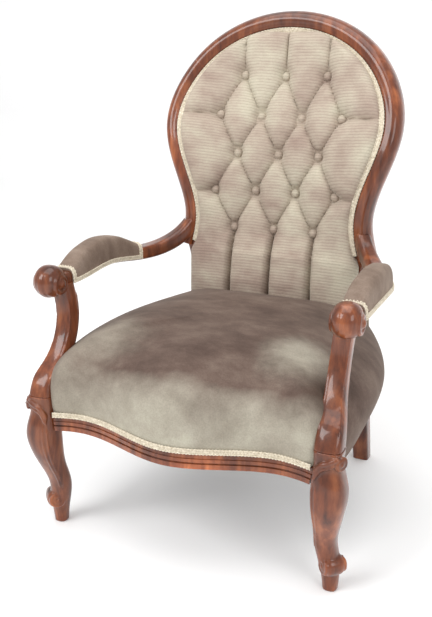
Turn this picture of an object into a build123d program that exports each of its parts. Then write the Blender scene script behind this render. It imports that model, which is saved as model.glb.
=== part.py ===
from build123d import *
import os
from math import cos, pi, sin

os.makedirs("parts", exist_ok=True)

# Spoon back armchair in millimetres. It stands on Z = 0 and faces -Y, and right means +X.

# Stance at the height of the seat rails
front_leg_x = 284
front_leg_y = -274
rear_leg_x = 200
rear_leg_y = 225

# Cabriole front legs
leg_height = 292
leg_top_width = 54
knee_height = 205
knee_width = 64
ankle_height = 92
ankle_width = 38
ankle_setback = 30
ankle_inset = 9
foot_width = 28
foot_setback = 38
peg_height = 26
toe_height = 55
toe_radius = 18
toe_width = 44
toe_reach = 9
knee_scroll_radius = 16
knee_scroll_width = 44
knee_scroll_reach = 17

# Arm supports
support_sweep = 83
support_lean = 11
support_slim = 35

# Arms
arm_height = 498
arm_width = 38
arm_thickness = 28
arm_bow = 4
arm_middle_y = -34
arm_pad_back_y = 71
arm_turn_y = 139
arm_joint_station = 0.08
arm_joint_offset = (14, 12, 5)
knuckle_radius = 31
knuckle_width = 46
knuckle_reach = 34

# Rear legs and posts
post_width = 46
rear_foot_width = 36
rear_foot_rake = 58
rear_foot_splay = 6

# Hoop of the back, measured along the inner edge of its moulding
hoop_base_height = 490
hoop_base_half_width = 195
waist_height = 562
waist_half_width = 181
hoop_mid_height = 668
hoop_mid_half_width = 205
hoop_wide_height = 760
hoop_half_width = 230
crest_height = 961
waist_y = 196
mid_y = 191
wide_y = 206
crest_y = 288

# Section of the hoop's moulding
show_width = 33
moulding_depth = 44
moulding_swell = 5
rebate_width = 16
rebate_depth = 7
shoulder_station = 0.66

# Seat rails
front_rail_bottom = 224
front_rail_thickness = 32
show_band = 30
tack_rebate = 4
bead_height = 9
bead_proud = 3
rail_bottom = 232
rail_thickness = 26
rail_shoulder_gap = 2.2
back_rail_height = 38
back_rail_bottom = 372
back_rail_thickness = 24

# Plan of the seat, at the level of its rails
seat_half_width = 288
seat_front_y = -321
seat_rear_y = 200
serpentine = 50
side_mid_y = -74
seat_rear_taper = 60
shoulder_run = 20

# Seat upholstery
cover_thickness = 3
seat_crown_height = 420
seat_bulge = 24
hessian_height = 345
hessian_thickness = 2
hessian_inset = 56
webbing_width = 50
webbing_thickness = 2
webbing_gap = 36
spring_wire_radius = 1.9
spring_end_radius = 40
spring_waist_radius = 26
spring_turns = 4
spring_pitch = 112
spring_centre_y = -44

# Back upholstery
pad_depth = 38
pad_edge = 4
pad_gap = 2.5
lumbar_crown = 16
spoon_hollow = 30
button_pitch = 91
button_row_pitch = 80.25
lowest_button_row = 539
button_radius = 10
button_thickness = 5
tuft_depth = 20
tuft_radius = 24
pad_bottom = 388
back_web_heights = (500, 600, 710, 830)
apron_back = -3

# Braids and arm pads
braid_width = 13
braid_thickness = 4
arm_pad_width = 46
arm_pad_height = 30
arm_pad_start = 0.1
arm_pad_end = 0.66
arm_braid_height = 9

# Joinery
dowel_radius = 5
dowel_length = 50
screw_radius = 2.5
screw_length = 60
block_height = 44
fit_clearance = 0.3

bottom_aligned = (Align.CENTER, Align.CENTER, Align.MIN)
top_aligned = (Align.CENTER, Align.CENTER, Align.MAX)


def mirrored(piece):
    """The left-hand twin of a right-hand piece."""
    with BuildPart() as twin:
        mirror(piece.part, about=Plane.YZ)
    return twin


def post_section(height, x, y, width, depth, radius):
    """A rounded rectangle on a level plane."""
    with BuildSketch(Plane.XY.offset(height)) as outline:
        with Locations((x, y)):
            RectangleRounded(width, depth, radius)
    return outline.sketch


def scroll(radius, width, softness, eye):
    """A rolled scroll end about Z, with a turned eye on both faces."""
    with BuildPart() as roll:
        Cylinder(radius, width)
        chamfer(roll.edges().filter_by(GeomType.CIRCLE), softness)
        Cylinder(eye, width + 3)
    return roll.part


def dowels(places, radius, length):
    """Dowels centred on planes whose Z axes point along them."""
    with BuildPart() as pegs:
        with Locations(*places):
            Cylinder(radius, length)
    return pegs


def both_sides(places):
    """Planes on the right and their mirror images on the left."""
    result = []
    for origin, along in places:
        x, y, z = origin
        a, b, c = along
        result.append(Plane((x, y, z), z_dir=(a, b, c)))
        result.append(Plane((-x, y, z), z_dir=(-a, b, c)))
    return result


# Path of the hoop's inner edge on the right, from the arm joint to the middle of the crest.
# It is half an ellipse above its widest height, and it leans back there.
hoop_rise = crest_height - hoop_wide_height
hoop_side = [
    (hoop_base_half_width, waist_y + 2, hoop_base_height),
    (waist_half_width, waist_y, waist_height),
    (hoop_mid_half_width, mid_y, hoop_mid_height),
]
for turn in (0, pi / 8, pi / 4, 3 * pi / 8):
    hoop_side.append(
        (
            hoop_half_width * cos(turn),
            wide_y + (crest_y - wide_y) * sin(turn),
            hoop_wide_height + hoop_rise * sin(turn),
        )
    )
with BuildLine() as hoop_line:
    Spline(
        *hoop_side,
        (0, crest_y, crest_height),
        *[(-x, y, z) for x, y, z in reversed(hoop_side)],
    )
hoop = hoop_line.edges()[0].trim(0, 0.5)


def hoop_plane(station):
    """Plane across the hoop, X outward and Y to the back."""
    along = hoop % station
    return Plane(hoop @ station, x_dir=Vector(0, 1, 0).cross(along), z_dir=along)


def moulding(station):
    """Section of the hoop: a cove, a bold outer round and a rebate for the upholstery."""
    crown = (0.45 * show_width, -moulding_swell)
    nose = (show_width, 0.4 * moulding_depth)
    with BuildSketch(hoop_plane(station)) as outline:
        with BuildLine():
            ThreePointArc((0, 0), (0.24 * show_width, -0.15 * moulding_swell), crown)
            ThreePointArc(crown, (0.86 * show_width, 0.02 * moulding_depth), nose)
            Line(nose, (show_width, 0.72 * moulding_depth))
            ThreePointArc(
                (show_width, 0.72 * moulding_depth),
                (0.93 * show_width, 0.92 * moulding_depth),
                (0.75 * show_width, moulding_depth),
            )
            Polyline(
                (0.75 * show_width, moulding_depth),
                (-rebate_width, moulding_depth),
                (-rebate_width, rebate_depth),
                (0, rebate_depth),
                (0, 0),
            )
        make_face()
    return outline.sketch


def stations(first, last, count):
    return [first + (last - first) * step / (count - 1) for step in range(count)]


# Path of the arm's centre on the right, from the knuckle to the stile
knuckle_centre = (front_leg_x + 5, front_leg_y + support_sweep - knuckle_reach, arm_height + 2)
arm_end = hoop @ arm_joint_station + Vector(*arm_joint_offset)
with BuildLine() as arm_line:
    Spline(
        knuckle_centre,
        (front_leg_x + 2, front_leg_y + support_sweep, arm_height),
        (front_leg_x + arm_bow, arm_middle_y, arm_height + 5),
        (front_leg_x - 12, arm_pad_back_y, arm_height - 7),
        (front_leg_x - 41, arm_turn_y, arm_height - 4),
        arm_end,
    )
arm_path = arm_line.edges()[0]


def arm_plane(station):
    """Plane across the arm, X inward and Y up."""
    along = arm_path % station
    return Plane(arm_path @ station, x_dir=Vector(0, 0, 1).cross(along), z_dir=along)


def arm_section(station, width, thickness):
    with BuildSketch(arm_plane(station)) as outline:
        RectangleRounded(width, thickness, 0.3 * thickness)
    return outline.sketch


# Dowels and screws, which the frame is bored for
rail_top = leg_height
leg_inner_x = front_leg_x - leg_top_width / 2
leg_back_y = front_leg_y + leg_top_width / 2
low_dowel, high_dowel = rail_bottom + 8, rail_bottom + 32
low_cross, high_cross = rail_bottom + 20, rail_bottom + 46

front_rail_dowels = dowels(
    both_sides([((leg_inner_x, front_leg_y + 3, z), (1, 0, 0)) for z in (low_cross, high_cross)]),
    dowel_radius,
    dowel_length,
)
side_rail_dowels = dowels(
    both_sides(
        [((front_leg_x - 18, leg_back_y, z), (0, 1, 0)) for z in (low_dowel, high_dowel)]
        + [((rear_leg_x + 4, rear_leg_y - post_width / 2, z), (0, 1, 0)) for z in (low_dowel, high_dowel)]
    ),
    dowel_radius,
    dowel_length,
)
back_rail_dowels = dowels(
    both_sides(
        [((rear_leg_x - post_width / 2, rear_leg_y, z), (1, 0, 0)) for z in (low_cross, high_cross)]
    ),
    dowel_radius,
    0.7 * dowel_length,
)
lower_back_y = rear_leg_y - 9
lower_back_dowels = dowels(
    both_sides(
        [((rear_leg_x - 21, lower_back_y, back_rail_bottom + back_rail_height / 2), (1, 0, 0))]
    ),
    dowel_radius,
    0.6 * dowel_length,
)
arm_support_dowels = dowels(
    both_sides([((front_leg_x, front_leg_y + 14, leg_height), (0, 0, 1))]), dowel_radius, dowel_length
)
arm_tip = arm_path % 1
arm_dowels = dowels(
    both_sides(
        [
            ((front_leg_x - 1, front_leg_y + support_sweep, arm_height - 14), (0, 0, 1)),
            (arm_end, arm_tip),
        ]
    ),
    dowel_radius,
    0.7 * dowel_length,
)
moulding_centre = (0.2 * show_width, 0.5 * moulding_depth)
shoulder_dowel = hoop_plane(shoulder_station)
crest_dowels = dowels(
    both_sides(
        [
            (
                shoulder_dowel.from_local_coords((*moulding_centre, 0)),
                shoulder_dowel.z_dir,
            )
        ]
    )
    + [Plane(hoop_plane(1).from_local_coords((*moulding_centre, 0)), z_dir=(1, 0, 0))],
    dowel_radius,
    dowel_length,
)

# Corner block screws, square to the long face of each block
front_screw = Vector(front_leg_x - 44, front_leg_y + 33, 0)
front_screw_way = Vector(61, -58, 0).normalized()
rear_screw = Vector(rear_leg_x - 9, rear_leg_y - 23, 0)
rear_screw_way = Vector(22, 50, 0).normalized()
with BuildPart() as corner_block_screws:
    with Locations(
        *both_sides(
            [
                (start + Vector(0, 0, z), way)
                for start, way in ((front_screw, front_screw_way), (rear_screw, rear_screw_way))
                for z in (low_cross, high_cross - 2)
            ]
        )
    ):
        Cylinder(screw_radius, screw_length)
        with Locations((0, 0, -screw_length / 2)):
            Cone(2 * screw_radius, screw_radius, 2 * screw_radius, align=bottom_aligned)

# Front legs: peg foot, scroll toe, ankle, knee and a scroll under the arm support
mid_height = (ankle_height + knee_height) / 2
mid_width = (ankle_width + knee_width) / 2
leg_stations = (
    (0, 0, foot_setback, foot_width, 0.45),
    (peg_height, 0, foot_setback, foot_width + 4, 0.45),
    (toe_height, -0.5 * ankle_inset, foot_setback, ankle_width, 0.42),
    (ankle_height, -ankle_inset, ankle_setback, ankle_width, 0.4),
    (mid_height, -0.5 * ankle_inset, 0.4 * ankle_setback, mid_width, 0.36),
    (knee_height, 0, 0, knee_width, 0.34),
    ((knee_height + leg_height) / 2, 0, 0, leg_top_width, 0.3),
    (leg_height, 0, 0, leg_top_width, 0.25),
)
with BuildPart() as front_leg_right:
    loft(
        sections=[
            post_section(z, front_leg_x + out, front_leg_y + back, width, width, corner * width)
            for z, out, back, width, corner in leg_stations
        ]
    )
    with Locations(
        Plane(
            (front_leg_x + 0.7 * toe_reach - 3, front_leg_y + foot_setback - 0.7 * toe_reach, toe_height),
            z_dir=(1, 1, 0),
        )
    ):
        add(scroll(toe_radius, toe_width, 4, 0.4 * toe_radius))
    with Locations(
        Plane(
            (
                front_leg_x + 0.7 * knee_scroll_reach,
                front_leg_y - 0.7 * knee_scroll_reach,
                leg_height - knee_scroll_radius - 4,
            ),
            z_dir=(1, 1, 0),
        )
    ):
        add(scroll(knee_scroll_radius, knee_scroll_width, 4, 0.4 * knee_scroll_radius))
    add(front_rail_dowels.part, mode=Mode.SUBTRACT)
    add(side_rail_dowels.part, mode=Mode.SUBTRACT)
    add(arm_support_dowels.part, mode=Mode.SUBTRACT)
    add(corner_block_screws.part, mode=Mode.SUBTRACT)
front_leg_left = mirrored(front_leg_right)

# Rear legs, each with its post and the moulded stile up to the shoulder
post_stations = (
    (0, rear_foot_splay, rear_foot_rake, rear_foot_width),
    (0.5 * rail_bottom, 0.5 * rear_foot_splay, 0.5 * rear_foot_rake, (rear_foot_width + post_width) / 2),
    (rail_bottom, 0, 3, post_width),
    (rail_top, 0, 0, post_width),
    (0.5 * (rail_top + hoop_base_height), 0, -7, 0.9 * post_width),
    (hoop_base_height + 25, -3, -8, 0.78 * post_width),
)
with BuildPart() as rear_stile_right:
    loft(
        sections=[
            post_section(z, rear_leg_x + out, rear_leg_y + back, width, width, 0.15 * width)
            for z, out, back, width in post_stations
        ]
    )
    loft(sections=[moulding(station) for station in stations(0, shoulder_station, 10)])
    add(side_rail_dowels.part, mode=Mode.SUBTRACT)
    add(back_rail_dowels.part, mode=Mode.SUBTRACT)
    add(lower_back_dowels.part, mode=Mode.SUBTRACT)
    add(arm_dowels.part, mode=Mode.SUBTRACT)
    add(crest_dowels.part, mode=Mode.SUBTRACT)
    add(corner_block_screws.part, mode=Mode.SUBTRACT)
rear_stile_left = mirrored(rear_stile_right)

# Crest in two halves, from the shoulders to the middle
with BuildPart() as crest_right:
    loft(sections=[moulding(station) for station in stations(shoulder_station, 1, 7)])
    add(crest_dowels.part, mode=Mode.SUBTRACT)
crest_left = mirrored(crest_right)

# Arms with rolled knuckles, scribed to the stiles
arm_stations = (
    (0, 0.8, 0.9),
    (0.08, 1, 1),
    (0.4, 1.05, 1),
    (0.66, 1, 1.02),
    (0.83, 0.92, 1.15),
    (1, 0.84, 1.3),
)
with BuildPart() as arm_block:
    loft(
        sections=[
            arm_section(station, wide * arm_width, tall * arm_thickness)
            for station, wide, tall in arm_stations
        ]
    )
    with Locations(Plane(knuckle_centre, z_dir=(1, 0, 0))):
        add(scroll(knuckle_radius, knuckle_width, 0.6 * knuckle_radius, 0.3 * knuckle_radius))
    add(rear_stile_right.part, mode=Mode.SUBTRACT)
    add(arm_dowels.part, mode=Mode.SUBTRACT)
with BuildPart() as arm_right:
    add(arm_block.solids().sort_by(SortBy.VOLUME)[-1])
arm_left = mirrored(arm_right)

# Arm supports, rising from the legs and sweeping back under the arms
support_rise = arm_height - leg_height
support_stations = (
    (0, 0, 0, leg_top_width - 1, leg_top_width - 1),
    (0.14, 0.25, 0.18, 1.3 * support_slim, 1.35 * support_slim),
    (0.28, 0.7, 0.52, 1.12 * support_slim, 1.3 * support_slim),
    (0.45, 1, 0.82, 1.02 * support_slim, 1.12 * support_slim),
    (0.67, 0.95, 0.99, support_slim, support_slim),
    (0.85, 0.6, 1, 1.03 * support_slim, 1.05 * support_slim),
    (1, 0.1, 0.98, 1.05 * support_slim, 1.15 * support_slim),
)
with BuildPart() as arm_support_right:
    loft(
        sections=[
            post_section(
                leg_height + share * support_rise,
                front_leg_x - lean * support_lean,
                front_leg_y + sweep * support_sweep,
                width,
                depth,
                0.3 * width,
            )
            for share, lean, sweep, width, depth in support_stations
        ]
    )
    add(arm_right.part, mode=Mode.SUBTRACT)
    add(arm_support_dowels.part, mode=Mode.SUBTRACT)
    add(arm_dowels.part, mode=Mode.SUBTRACT)
arm_support_left = mirrored(arm_support_right)


def front_curve(shift, half_width):
    """Serpentine line of the seat front, moved forward by shift."""
    middle_y = seat_front_y - shift
    return Spline(
        (-half_width, middle_y + 0.72 * serpentine),
        (-0.76 * half_width, middle_y + serpentine),
        (0, middle_y),
        (0.76 * half_width, middle_y + serpentine),
        (half_width, middle_y + 0.72 * serpentine),
    )


def front_band(bottom, height, shift, thickness):
    """Strip that follows the seat front, from leg to leg."""
    half_width = leg_inner_x + 4
    with BuildPart() as band:
        with BuildSketch(Plane.XY.offset(bottom)):
            with BuildLine():
                face = front_curve(shift, half_width)
                back = front_curve(shift - thickness, half_width)
                Line(face @ 0, back @ 0)
                Line(face @ 1, back @ 1)
            make_face()
        extrude(amount=height)
    return band


# Serpentine front rail: a show band with two beads, and a rebate above it for the cover
rail_shoulder = front_rail_bottom + show_band
with BuildPart() as front_seat_rail:
    add(
        front_band(
            rail_shoulder,
            rail_top - rail_shoulder,
            -tack_rebate,
            front_rail_thickness - tack_rebate,
        ).part
    )
    add(front_band(front_rail_bottom, show_band, 0, front_rail_thickness).part)
    add(front_band(front_rail_bottom, bead_height, bead_proud, front_rail_thickness).part)
    add(front_band(front_rail_bottom + bead_height + 3, 0.7 * bead_height, 2, front_rail_thickness).part)
    for leg in (front_leg_left, front_leg_right):
        add(leg.part, mode=Mode.SUBTRACT)
    add(front_rail_dowels.part, mode=Mode.SUBTRACT)
    add(corner_block_screws.part, mode=Mode.SUBTRACT)


def side_arc(inset):
    """Bowed line of the seat side, from the front corner to the rear one."""
    return ThreePointArc(
        (front_leg_x - inset, seat_front_y + 0.72 * serpentine + shoulder_run),
        (seat_half_width - inset, side_mid_y),
        (seat_half_width - seat_rear_taper - inset, seat_rear_y),
    )


# Bowed side rails, inside the cover
rail_cover_gap = 6
with BuildPart() as side_seat_rail_right:
    with BuildSketch(Plane.XY.offset(rail_bottom)):
        with BuildLine():
            outer = side_arc(rail_cover_gap)
            inner = side_arc(rail_cover_gap + rail_thickness)
            Line(outer @ 0, inner @ 0)
            Line(outer @ 1, inner @ 1)
        make_face()
    extrude(amount=rail_top - rail_bottom)
    with Locations((seat_half_width, leg_back_y + rail_shoulder_gap, rail_bottom)):
        Box(
            2 * seat_half_width,
            leg_top_width,
            3 * (rail_top - rail_bottom),
            align=(Align.CENTER, Align.MAX, Align.CENTER),
            mode=Mode.SUBTRACT,
        )
    add(side_rail_dowels.part, mode=Mode.SUBTRACT)
side_seat_rail_left = mirrored(side_seat_rail_right)

# Back rail of the seat
with BuildPart() as back_seat_rail:
    with Locations((0, rear_leg_y, rail_bottom)):
        Box(
            2 * rear_leg_x - post_width + 6,
            rail_thickness,
            rail_top - rail_bottom,
            align=bottom_aligned,
        )
    for stile in (rear_stile_left, rear_stile_right):
        add(stile.part, mode=Mode.SUBTRACT)
    add(back_rail_dowels.part, mode=Mode.SUBTRACT)
    add(corner_block_screws.part, mode=Mode.SUBTRACT)

# Lower rail of the back, above the seat
with BuildPart() as lower_back_rail:
    with Locations((0, lower_back_y, back_rail_bottom)):
        Box(
            2 * rear_leg_x - post_width + 12,
            back_rail_thickness,
            back_rail_height,
            align=bottom_aligned,
        )
    for stile in (rear_stile_left, rear_stile_right):
        add(stile.part, mode=Mode.SUBTRACT)
    add(lower_back_dowels.part, mode=Mode.SUBTRACT)

# Corner blocks, fitted to the rails
front_block = (
    (leg_inner_x - 7, leg_back_y - 12),
    (leg_inner_x - 68, leg_back_y - 2),
    (leg_inner_x - 7, leg_back_y + 58),
)
rear_block = (
    (rear_leg_x - 2, rear_leg_y - 8),
    (rear_leg_x - 70, rear_leg_y - 8),
    (rear_leg_x + 24, rear_leg_y - 90),
)
with BuildPart() as right_blocks:
    for corners in (front_block, rear_block):
        with BuildSketch(Plane.XY.offset(rail_bottom + 8)):
            with BuildLine():
                Polyline(*corners, close=True)
            make_face()
        extrude(amount=block_height)
    for neighbour in (
        front_leg_right,
        rear_stile_right,
        front_seat_rail,
        side_seat_rail_right,
        back_seat_rail,
        side_rail_dowels,
    ):
        add(neighbour.part, mode=Mode.SUBTRACT)
    add(corner_block_screws.part, mode=Mode.SUBTRACT)
with BuildPart() as corner_blocks:
    for block in right_blocks.solids().sort_by(SortBy.VOLUME)[-2:]:
        add(block)
        mirror(block, about=Plane.YZ)


def seat_plan(height, sides, corners, shoulders, front, back):
    """Plan of the seat at a height, each line drawn in from its place at the rails."""
    front_y = seat_front_y + front
    corner = (leg_inner_x + 4 - corners, front_y + 0.72 * serpentine)
    bend = (0.76 * corner[0], front_y + serpentine)
    shoulder = (front_leg_x - shoulders, corner[1] + shoulder_run)
    side = (seat_half_width - sides, side_mid_y)
    rear = (seat_half_width - seat_rear_taper - max(sides, 0), seat_rear_y - back)
    with BuildSketch(Plane.XY.offset(height)) as outline:
        with BuildLine():
            Spline(
                (-corner[0], corner[1]),
                (-bend[0], bend[1]),
                (0, front_y),
                bend,
                corner,
            )
            Line(corner, shoulder)
            ThreePointArc(shoulder, side, rear)
            Line(rear, (-rear[0], rear[1]))
            ThreePointArc((-rear[0], rear[1]), (-side[0], side[1]), (-shoulder[0], shoulder[1]))
            Line((-shoulder[0], shoulder[1]), (-corner[0], corner[1]))
        make_face()
    return outline.sketch


def level_plan(height, inset, back):
    return seat_plan(height, inset, inset, inset, inset, back)


# Seat profile: share of the height, then how far sides, front corners, shoulders, front and back
# are drawn in. The shoulders are cut in round the arm supports.
seat_profile = (
    (0, 0, 0, 0, 0, 0),
    (0.22, -0.7 * seat_bulge, 0, 0, -0.2 * seat_bulge, 0),
    (0.42, -seat_bulge, 5, 20, -0.35 * seat_bulge, 0),
    (0.6, -0.35 * seat_bulge, 13, 27, -0.1 * seat_bulge, 2),
    (0.78, 33, 38, 54, 29, 16),
    (0.91, 86, 82, 98, 86, 52),
    (1, 150, 140, 156, 150, 100),
)


def seat_form(inset, bottom):
    """Sprung and stuffed seat: drawn in at the rails, rolled at the edge and crowned."""
    sections = []
    for share, *drawn in seat_profile:
        height = bottom + share * (seat_crown_height - inset - bottom)
        sections.append(seat_plan(height, *[line + inset for line in drawn]))
    return loft(sections=sections, ruled=True, mode=Mode.PRIVATE)


def hessian_form(inset):
    return loft(
        sections=[
            level_plan(rail_top, hessian_inset - 22 + inset, 26 + inset),
            level_plan(hessian_height - inset, hessian_inset + inset, 50 + inset),
        ],
        mode=Mode.PRIVATE,
    )


# Places across the back, inside the hoop's inner wall
def wall_point(station):
    return hoop_plane(station).from_local_coords((-rebate_width - fit_clearance, 0, 0))


def back_plane(station):
    """Plane across the back at a station of the hoop, X to the right and Y to the back."""
    point = wall_point(station)
    along = hoop % station
    return Plane((0, point.Y, point.Z), x_dir=(1, 0, 0), z_dir=(0, along.Y, along.Z))


def level_plane(height, shift=0):
    """Level plane across the back, below the hoop."""
    return Plane((0, waist_y + 2 + shift, height), x_dir=(1, 0, 0), z_dir=(0, 0, 1))


def station_at(height):
    """Station whose plane across the back lies at a height."""
    low, high = 0.0, 1.0
    for _ in range(30):
        middle = (low + high) / 2
        if wall_point(middle).Z < height:
            low = middle
        else:
            high = middle
    return low


def pad_crown(height):
    """How far the pad's middle stands in front of its edges: full at the loins, hollow above."""
    share = (height - hoop_base_height) / (crest_height - hoop_base_height)
    return lumbar_crown - spoon_hollow * sin(pi * min(max(share, 0), 1))


def pad_section(plane, half_width, edge, crown, depth):
    with BuildSketch(plane) as outline:
        with BuildLine():
            Polyline((-half_width, edge), (-half_width, depth), (half_width, depth), (half_width, edge))
            ThreePointArc((half_width, edge), (0, -crown), (-half_width, edge))
        make_face()
    return outline.sketch


def pad_point(x, height, depth):
    """Point at a depth under the front of the pad."""
    station = station_at(height)
    half_width = wall_point(station).X
    bulge = (pad_edge + pad_crown(height)) * (1 - (x / half_width) ** 2)
    return back_plane(station).from_local_coords((x, pad_edge - bulge + depth, 0))


def forward_at(height):
    return back_plane(station_at(height)).y_dir * -1


# Buttons in rows of three and four, as places on the back: across and height
button_rows = []
for row in range(5):
    count = 3 + row % 2
    height = lowest_button_row + row * button_row_pitch
    button_rows.append([((column - (count - 1) / 2) * button_pitch, height) for column in range(count)])
button_places = [place for row in button_rows for place in row]


def funnel(place):
    """Tuft that a button pulls into the pad."""
    with BuildPart() as tuft:
        with Locations(Plane(pad_point(*place, tuft_depth), z_dir=forward_at(place[1]))):
            Cone(
                button_radius - 2,
                1.6 * tuft_radius,
                1.6 * tuft_depth,
                align=bottom_aligned,
            )
    return tuft.part


# Braid along the inner edge of the hoop, in its rebate
def braid_section(station):
    with BuildSketch(hoop_plane(station)) as outline:
        with Locations((-braid_width / 2 - fit_clearance, rebate_depth - braid_thickness / 2 - fit_clearance)):
            Rectangle(braid_width, braid_thickness)
    return outline.sketch


with BuildPart() as back_braid:
    half = loft(sections=[braid_section(station) for station in stations(0.08, 1, 14)])
    mirror(half, about=Plane.YZ)

# Pad of the back: the hoop's shape, full at the loins and hollow above, drawn in at the buttons.
# Below the hoop an apron of it lies in front of the posts.
back_stations = [1 - (1 - share) ** 1.5 for share in stations(0, 0.9, 16)]
low_half_width = rear_leg_x - post_width / 2 - 2
apron_shares = ((0, rear_leg_x, 1), (0.5, rear_leg_x, 1.9), (1, hoop_base_half_width - 6, 1.1))
with BuildPart() as back_pad:
    loft(
        sections=[
            pad_section(
                level_plane(pad_bottom + share * (hoop_base_height - pad_bottom)),
                half_width,
                -0.8 * lumbar_crown,
                crown * lumbar_crown,
                apron_back,
            )
            for share, half_width, crown in apron_shares
        ]
    )
    loft(
        sections=[
            pad_section(
                back_plane(station),
                wall_point(station).X - pad_gap,
                pad_edge,
                pad_crown(wall_point(station).Z),
                pad_depth,
            )
            for station in back_stations
        ],
        ruled=True,
    )
    add([funnel(place) for place in button_places], mode=Mode.SUBTRACT)

# Covered buttons, seated in the tufts
with BuildPart() as button:
    Cylinder(button_radius - 2.2, button_thickness, align=bottom_aligned)
    chamfer(button.edges().filter_by(GeomType.CIRCLE).sort_by(Axis.Z)[-1], 0.5 * button_thickness)
with BuildPart() as back_buttons:
    for place in button_places:
        with Locations(Plane(pad_point(*place, tuft_depth), z_dir=forward_at(place[1]))):
            add(button.part)


def sheet_section(plane, half_width, front, thickness):
    with BuildSketch(plane) as outline:
        with Locations((0, front + thickness / 2)):
            Rectangle(2 * half_width, thickness)
    return outline.sketch


def back_sheet(front, thickness, margin, low_sections):
    """Sheet across the back, at a depth behind the hoop's edge, straight below the hoop."""
    upper = [
        sheet_section(back_plane(station), wall_point(station).X + margin, front, thickness)
        for station in back_stations
    ]
    lower = [
        sheet_section(level_plane(height, shift), half_width, front, thickness)
        for height, half_width, shift in low_sections
    ]
    with BuildPart() as sheet:
        loft(sections=lower + upper, ruled=True)
    return sheet


# Hessian and webbing behind the pad, and the cover of the outside of the back
back_rail_top = back_rail_bottom + back_rail_height
back_hessian = back_sheet(
    pad_depth + fit_clearance, hessian_thickness, -5, [(back_rail_top, low_half_width, 0)]
)
web_depth = pad_depth + hessian_thickness + 2.5
with BuildPart() as back_webbing:
    for height in back_web_heights:
        station = station_at(height)
        half_width = wall_point(station).X
        with Locations(back_plane(station)):
            with Locations((0, web_depth + webbing_thickness / 2, 0)):
                Box(2 * half_width - 12, webbing_thickness, webbing_width)
outside_back_cover = back_sheet(
    moulding_depth + 1.5,
    cover_thickness,
    rebate_width + 8,
    (
        (rail_bottom + 4, rear_leg_x + 18, 12),
        (rail_top, rear_leg_x + 16, 9),
        (back_rail_bottom, rear_leg_x + 10, 3),
    ),
)

# Sprung seat: webbing, springs, hessian, stuffing and cover
frame_feet = (front_leg_left, front_leg_right, rear_stile_left, rear_stile_right, front_seat_rail)
with BuildPart() as web_strips:
    web_step = webbing_width + webbing_gap
    for step in range(-2, 3):
        with Locations((step * web_step, 0, rail_bottom)):
            Box(webbing_width, 4 * seat_half_width, 4 * webbing_thickness)
        with Locations((0, spring_centre_y + step * web_step, rail_bottom)):
            Box(4 * seat_half_width, webbing_width, 4 * webbing_thickness)
with BuildPart() as seat_webbing:
    extrude(level_plan(rail_bottom - webbing_thickness, 18 + front_rail_thickness, 0), amount=webbing_thickness)
    add(web_strips.part, mode=Mode.INTERSECT)
    for piece in frame_feet:
        add(piece.part, mode=Mode.SUBTRACT)

with BuildPart() as bottom_cloth:
    extrude(level_plan(rail_bottom - webbing_thickness - hessian_thickness, 12, 0), amount=hessian_thickness)
    for piece in frame_feet:
        add(piece.part, mode=Mode.SUBTRACT)

# Hourglass springs: one unbroken wire each, standing on the webbing
spring_bottom = rail_bottom + spring_wire_radius
spring_rise = hessian_height - hessian_thickness - spring_wire_radius - spring_bottom
steps_per_turn = 8


def spring_point(step):
    share = step / (spring_turns * steps_per_turn)
    radius = spring_waist_radius + (spring_end_radius - spring_waist_radius) * (2 * share - 1) ** 2
    turn = 2 * pi * step / steps_per_turn
    return Vector(radius * cos(turn), radius * sin(turn), spring_bottom + share * spring_rise)


wire_sections = []
for step in range(spring_turns * steps_per_turn + 1):
    way = spring_point(step + 0.5) - spring_point(step - 0.5)
    with BuildSketch(Plane(spring_point(step), x_dir=way.cross(Vector(0, 0, 1)), z_dir=way)) as wire:
        RegularPolygon(spring_wire_radius, 4)
    wire_sections.append(wire.sketch)
with BuildPart() as spring:
    loft(sections=wire_sections, ruled=True)
with BuildPart() as seat_springs:
    with Locations((0, spring_centre_y)):
        with GridLocations(2 * spring_pitch, 2 * spring_pitch, 2, 2):
            add(spring.part)
        add(spring.part)

with BuildPart() as spring_hessian:
    add(hessian_form(0))
    add(hessian_form(hessian_thickness), mode=Mode.SUBTRACT)

with BuildPart() as stuffing_block:
    add(seat_form(cover_thickness + fit_clearance, rail_bottom + 4))
    with Locations((0, 0, rail_top + fit_clearance)):
        Box(4 * seat_half_width, 4 * seat_half_width, rail_top, align=top_aligned, mode=Mode.SUBTRACT)
    add(hessian_form(-2 * fit_clearance), mode=Mode.SUBTRACT)
    for piece in (arm_support_left, arm_support_right):
        add(piece.part, mode=Mode.SUBTRACT)
with BuildPart() as seat_stuffing:
    add(stuffing_block.solids().sort_by(SortBy.VOLUME)[-1])

with BuildPart() as cover_shell:
    add(seat_form(0, rail_bottom + 4))
    add(seat_form(cover_thickness, rail_bottom + 3), mode=Mode.SUBTRACT)
    show_wood = front_band(front_rail_bottom, show_band + fit_clearance, 6, front_rail_thickness)
    add(show_wood.part, mode=Mode.SUBTRACT)
    with Locations((front_leg_x, front_leg_y, rail_bottom), (-front_leg_x, front_leg_y, rail_bottom)):
        leg_notch = leg_top_width + 5
        Box(leg_notch, leg_notch, 2 * (rail_top - rail_bottom), mode=Mode.SUBTRACT)
    with Locations((0, seat_rear_y, rail_top + fit_clearance)):
        rear_opening = 2 * (seat_half_width - seat_rear_taper - cover_thickness) - 2
        Box(rear_opening, 4 * cover_thickness, rail_top, align=top_aligned, mode=Mode.SUBTRACT)
    for piece in (arm_support_left, arm_support_right):
        add(piece.part, mode=Mode.SUBTRACT)
with BuildPart() as seat_cover:
    add(cover_shell.solids().sort_by(SortBy.VOLUME)[-1])

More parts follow.
